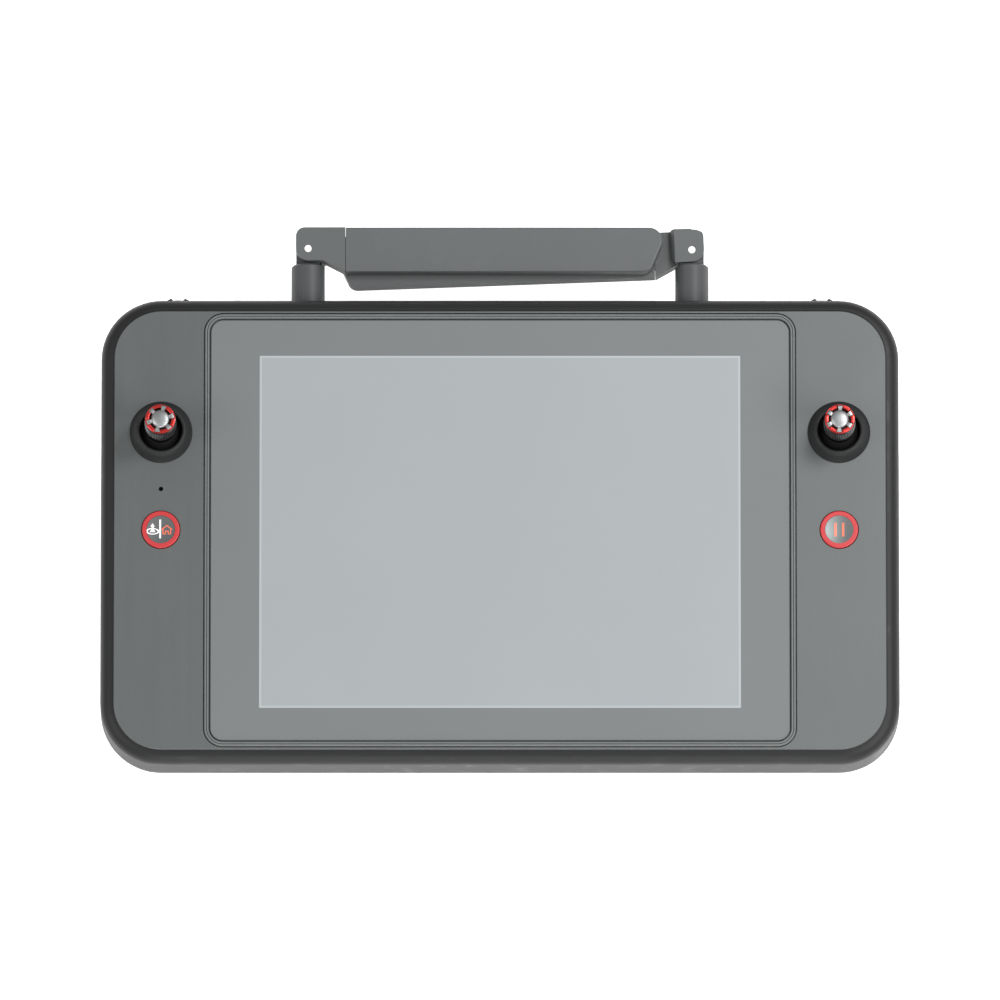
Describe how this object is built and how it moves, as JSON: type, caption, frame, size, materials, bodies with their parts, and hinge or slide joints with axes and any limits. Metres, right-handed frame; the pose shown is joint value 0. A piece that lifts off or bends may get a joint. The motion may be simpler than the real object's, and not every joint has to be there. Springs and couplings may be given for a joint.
{
  "type": "radio transmitter controller",
  "caption": "Handheld drone transmitter with a built-in touch screen, self-centring sticks, thumb dials, rear grips and folding swivelling antennas.",
  "frame": {"origin": "middle of the footprint with the antennas folded, on the surface that the back grips rest on", "axes": "+X to the user's right, +Y away from the user towards the antennas, +Z out of the screen"},
  "size_m": [0.2678, 0.1856, 0.0869],
  "materials": {
    "face_paint": "satin",
    "dark_casing": "fine texture",
    "grip_plastic": "fine texture",
    "grip_rubber": "dotted",
    "gasket_rubber": "matte",
    "screen_glass": "clear over a grey mask",
    "display": "satin",
    "cast_metal": "as cast",
    "board_green": "solder mask",
    "shield_metal": "satin",
    "fan_plastic": "matte",
    "battery_wrap": "wrapped cells",
    "screw_steel": "blackened",
    "speaker_frame": "matte",
    "brass": "turned",
    "collar_plastic": "satin",
    "gimbal_plastic": "matte",
    "stem_black": "satin",
    "knob_metal": "anodised, knurled",
    "red_anodised": "anodised",
    "bright_metal": "turned",
    "dial_plastic": "satin",
    "button_red": "satin",
    "button_grey": "satin",
    "key_plastic": "satin",
    "cover_rubber": "matte",
    "bush_plastic": "satin",
    "antenna_plastic": "satin",
    "pin_steel": "polished"
  },
  "bodies": {
    "casing": {"antenna_bushes": "bush_plastic", "battery_cover": "dark_casing", "battery_pack": "battery_wrap", "board_components": "shield_metal", "button_boards": "board_green", "casing_screws": "screw_steel", "chassis_plate": "cast_metal", "cover_glass": "screen_glass", "dial_cradle_left": "dial_plastic", "dial_cradle_right": "dial_plastic", "fan_housing": "fan_plastic", "front_panel": "face_paint", "gimbal_frame_left": "gimbal_plastic", "gimbal_frame_right": "gimbal_plastic", "grip_core_left": "grip_plastic", "grip_core_right": "grip_plastic", "grip_sleeve_left": "grip_rubber", "grip_sleeve_right": "grip_rubber", "heat_sink": "cast_metal", "lcd_module": "display", "main_board": "board_green", "port_sockets": "shield_metal", "rear_shell": "dark_casing", "rim_frame": "dark_casing", "screen_gasket": "gasket_rubber", "speakers": "speaker_frame", "stick_collar_left": "collar_plastic", "stick_collar_right": "collar_plastic", "tripod_insert": "brass"},
    "fan": {"fan_rotor": "fan_plastic"},
    "home_button": {"home_ring": "button_red", "home_cap": "button_grey"},
    "pause_button": {"pause_ring": "button_red", "pause_cap": "button_grey"},
    "record_key": {"record_button": "key_plastic"},
    "shutter_key": {"shutter_button": "key_plastic"},
    "power_key": {"power_button": "key_plastic"},
    "port_flap": {"port_cover": "cover_rubber"},
    "yoke_left": {"gimbal_yoke_left": "gimbal_plastic"},
    "stick_left": {"stick_stem_left": "stem_black", "stick_knob_left": "knob_metal", "stick_crown_left": "red_anodised", "stick_tip_left": "bright_metal"},
    "dial_wheel_left": {"dial_left": "bright_metal"},
    "custom_key_left": {"custom_button_left": "dark_casing"},
    "antenna_foot_left": {"antenna_post_left": "antenna_plastic", "antenna_pin_left": "pin_steel"},
    "antenna_blade_left": {"antenna_arm_left": "antenna_plastic", "antenna_cover_left": "antenna_plastic"},
    "yoke_right": {"gimbal_yoke_right": "gimbal_plastic"},
    "stick_right": {"stick_stem_right": "stem_black", "stick_knob_right": "knob_metal", "stick_crown_right": "red_anodised", "stick_tip_right": "bright_metal"},
    "dial_wheel_right": {"dial_right": "bright_metal"},
    "custom_key_right": {"custom_button_right": "dark_casing"},
    "antenna_foot_right": {"antenna_post_right": "antenna_plastic", "antenna_pin_right": "pin_steel"},
    "antenna_blade_right": {"antenna_arm_right": "antenna_plastic", "antenna_cover_right": "antenna_plastic"}
  },
  "joints": [
    {"name": "fan_spin", "type": "hinge", "parent": "casing", "child": "fan", "pos_m": [0, 0.0207, 0.043], "axis": [0, 0, 1], "continuous": true},
    {"name": "home_press", "type": "slide", "parent": "casing", "child": "home_button", "axis": [0, 0, -1], "range_m": [0, 0.0008], "stiffness_N_per_m": 1200, "springref_m": -0.0004},
    {"name": "pause_press", "type": "slide", "parent": "casing", "child": "pause_button", "axis": [0, 0, -1], "range_m": [0, 0.0008], "stiffness_N_per_m": 1200, "springref_m": -0.0004},
    {"name": "record_press", "type": "slide", "parent": "casing", "child": "record_key", "axis": [0, -1, 0], "range_m": [0, 0.0008], "stiffness_N_per_m": 1200, "springref_m": -0.0004},
    {"name": "shutter_press", "type": "slide", "parent": "casing", "child": "shutter_key", "axis": [0, -1, 0], "range_m": [0, 0.0008], "stiffness_N_per_m": 1200, "springref_m": -0.0004},
    {"name": "power_press", "type": "slide", "parent": "casing", "child": "power_key", "axis": [0, -1, 0], "range_m": [0, 0.0008], "stiffness_N_per_m": 1200, "springref_m": -0.0004},
    {"name": "port_flap_hinge", "type": "hinge", "parent": "casing", "child": "port_flap", "pos_m": [0, 0.0656, 0.0538], "axis": [-1, 0, 0], "range_deg": [0, 90]},
    {"name": "stick_left_pitch", "type": "hinge", "parent": "casing", "child": "yoke_left", "pos_m": [-0.1135, 0.0201, 0.0595], "axis": [1, 0, 0], "range_deg": [-18, 18], "stiffness_Nm_per_rad": 0.05},
    {"name": "stick_left_roll", "type": "hinge", "parent": "yoke_left", "child": "stick_left", "pos_m": [-0.1135, 0.0201, 0.0595], "axis": [0, 1, 0], "range_deg": [-18, 18], "stiffness_Nm_per_rad": 0.05},
    {"name": "dial_left_turn", "type": "hinge", "parent": "casing", "child": "dial_wheel_left", "pos_m": [-0.108, 0.0598, 0.0568], "axis": [0, 0, 1], "range_deg": [-28, 28], "stiffness_Nm_per_rad": 0.01},
    {"name": "custom_left_press", "type": "slide", "parent": "casing", "child": "custom_key_left", "axis": [0, 0, 1], "range_m": [0, 0.0008], "stiffness_N_per_m": 1200, "springref_m": -0.0004},
    {"name": "antenna_left_swivel", "type": "hinge", "parent": "casing", "child": "antenna_foot_left", "pos_m": [-0.06445, 0.0806, 0.051], "axis": [0, -1, 0], "range_deg": [0, 90]},
    {"name": "antenna_left_fold", "type": "hinge", "parent": "antenna_foot_left", "child": "antenna_blade_left", "pos_m": [-0.06445, 0.0855, 0.051], "axis": [0, 0, 1], "range_deg": [0, 95]},
    {"name": "stick_right_pitch", "type": "hinge", "parent": "casing", "child": "yoke_right", "pos_m": [0.1135, 0.0201, 0.0595], "axis": [1, 0, 0], "range_deg": [-18, 18], "stiffness_Nm_per_rad": 0.05},
    {"name": "stick_right_roll", "type": "hinge", "parent": "yoke_right", "child": "stick_right", "pos_m": [0.1135, 0.0201, 0.0595], "axis": [0, 1, 0], "range_deg": [-18, 18], "stiffness_Nm_per_rad": 0.05},
    {"name": "dial_right_turn", "type": "hinge", "parent": "casing", "child": "dial_wheel_right", "pos_m": [0.108, 0.0598, 0.0568], "axis": [0, 0, 1], "range_deg": [-28, 28], "stiffness_Nm_per_rad": 0.01},
    {"name": "custom_right_press", "type": "slide", "parent": "casing", "child": "custom_key_right", "axis": [0, 0, 1], "range_m": [0, 0.0008], "stiffness_N_per_m": 1200, "springref_m": -0.0004},
    {"name": "antenna_right_swivel", "type": "hinge", "parent": "casing", "child": "antenna_foot_right", "pos_m": [0.06445, 0.0806, 0.051], "axis": [0, -1, 0], "range_deg": [0, 90]},
    {"name": "antenna_right_fold", "type": "hinge", "parent": "antenna_foot_right", "child": "antenna_blade_right", "pos_m": [0.06445, 0.0855, 0.051], "axis": [0, 0, -1], "range_deg": [0, 95]}
  ]
}
